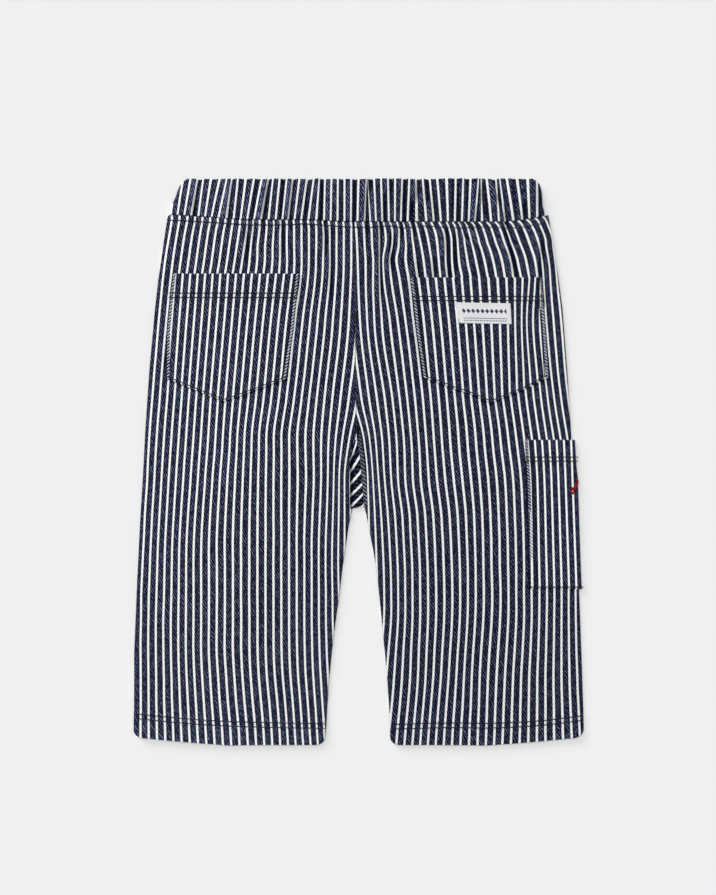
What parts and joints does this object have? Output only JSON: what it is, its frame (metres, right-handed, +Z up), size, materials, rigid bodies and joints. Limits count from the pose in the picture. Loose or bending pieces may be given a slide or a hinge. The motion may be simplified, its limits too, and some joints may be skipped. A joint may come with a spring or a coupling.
{
  "type": "drawstring trousers",
  "caption": "Striped pull-on trousers for a baby with an elastic waist, laid flat on their front, with patch pockets on the back and one on the side seam.",
  "frame": {"origin": "on the surface that the trousers lie on, under the middle of the garment", "axes": "+Y towards the waist, +X towards the wearer's right leg, +Z up, out of the back of the trousers"},
  "size_m": [0.3107, 0.39, 0.0066],
  "materials": {
    "striped_twill": "matt cotton twill, navy with narrow white lengthwise stripes",
    "woven_label": "fine off-white woven ribbon, slightly satin",
    "navy_thread": "dark navy sewing thread",
    "red_thread": "red embroidery thread, satin"
  },
  "bodies": {
    "root": {"back_left": "striped_twill", "back_right": "striped_twill", "front_left": "striped_twill", "front_right": "striped_twill", "waistband_back": "striped_twill", "waistband_front": "striped_twill", "pocket_back_left": "striped_twill", "pocket_back_right": "striped_twill", "pocket_side_back": "striped_twill", "pocket_side_front": "striped_twill", "label": "woven_label"}
  },
  "joints": []
}
